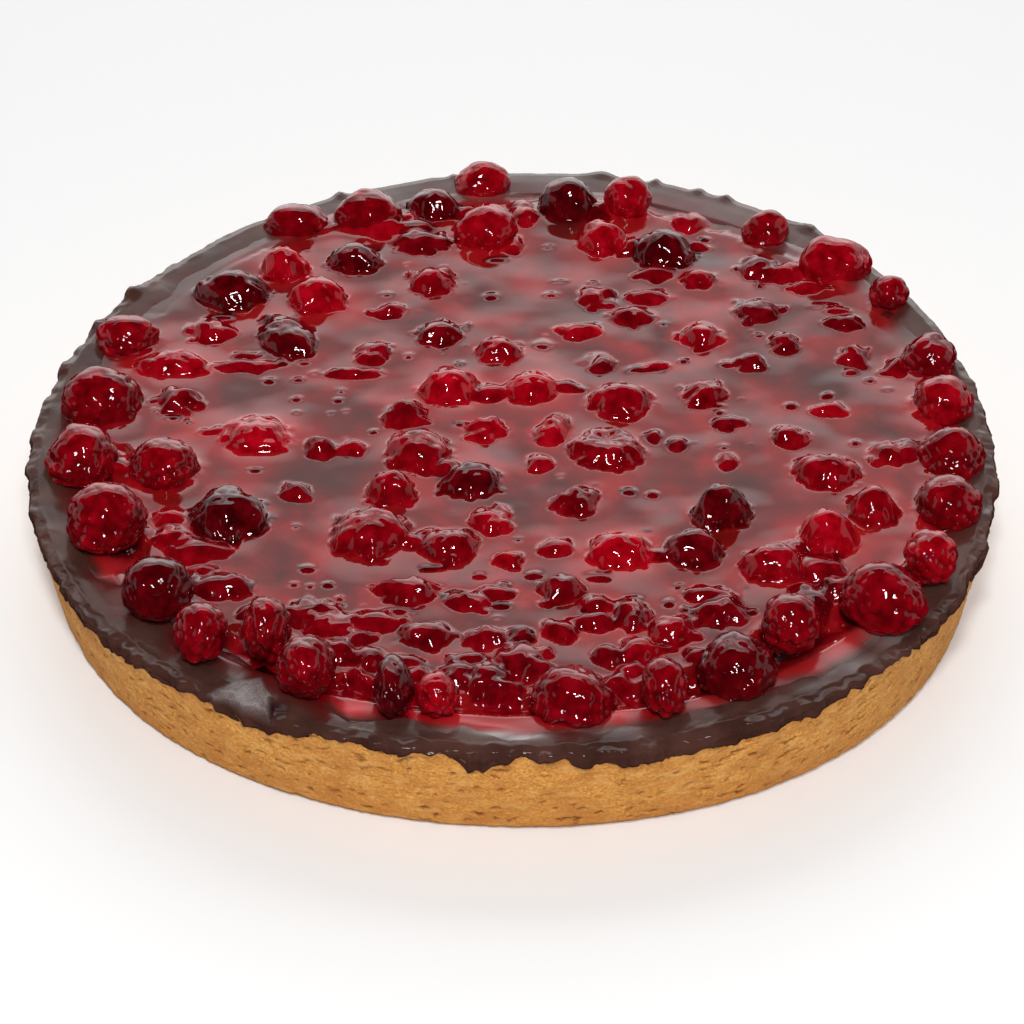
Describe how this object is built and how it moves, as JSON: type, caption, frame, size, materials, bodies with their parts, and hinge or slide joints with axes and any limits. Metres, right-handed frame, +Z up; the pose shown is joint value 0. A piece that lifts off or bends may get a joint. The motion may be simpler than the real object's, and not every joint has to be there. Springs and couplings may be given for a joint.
{
  "type": "raspberry tart",
  "caption": "Round tart: golden pastry shell coated inside and over the rim with dark chocolate, filled with glossy red jelly and raspberries.",
  "frame": {"origin": "middle of the flat base", "axes": "+Z up, -Y towards the front of the tart, +X to its right"},
  "size_m": [0.2584, 0.2631, 0.0433],
  "materials": {
    "baked_crust": "matte baked pastry",
    "dark_chocolate": "glossy set chocolate",
    "red_jelly": "wet clear glaze",
    "raspberry_red": "glazed",
    "raspberry_dark": "glazed"
  },
  "bodies": {
    "root": {"crust": "baked_crust", "chocolate": "dark_chocolate", "jelly": "red_jelly", "berry_01": "raspberry_red", "berry_02": "raspberry_red", "berry_03": "raspberry_red", "berry_04": "raspberry_dark", "berry_05": "raspberry_red", "berry_06": "raspberry_dark", "berry_07": "raspberry_red", "berry_08": "raspberry_dark", "berry_09": "raspberry_red", "berry_10": "raspberry_dark", "berry_11": "raspberry_red", "berry_12": "raspberry_red", "berry_13": "raspberry_red", "berry_14": "raspberry_red", "berry_15": "raspberry_red", "berry_16": "raspberry_dark", "berry_17": "raspberry_red", "berry_18": "raspberry_red", "berry_19": "raspberry_dark", "berry_20": "raspberry_red", "berry_21": "raspberry_red", "berry_22": "raspberry_red", "berry_23": "raspberry_red", "berry_24": "raspberry_red", "berry_25": "raspberry_dark", "berry_26": "raspberry_red", "berry_27": "raspberry_red", "berry_28": "raspberry_red", "berry_29": "raspberry_red", "berry_30": "raspberry_red", "berry_31": "raspberry_dark", "berry_32": "raspberry_red", "berry_33": "raspberry_red", "berry_34": "raspberry_red", "berry_35": "raspberry_red", "berry_36": "raspberry_dark", "berry_37": "raspberry_dark", "berry_38": "raspberry_red", "berry_39": "raspberry_red", "berry_40": "raspberry_red", "berry_41": "raspberry_red", "berry_42": "raspberry_red", "berry_43": "raspberry_red", "berry_44": "raspberry_red", "berry_45": "raspberry_red", "berry_46": "raspberry_red", "berry_47": "raspberry_dark", "berry_48": "raspberry_red", "berry_49": "raspberry_red", "berry_50": "raspberry_red", "berry_51": "raspberry_dark", "berry_52": "raspberry_red", "berry_53": "raspberry_red", "berry_54": "raspberry_red", "berry_55": "raspberry_dark", "berry_56": "raspberry_red", "berry_57": "raspberry_red"}
  },
  "joints": []
}
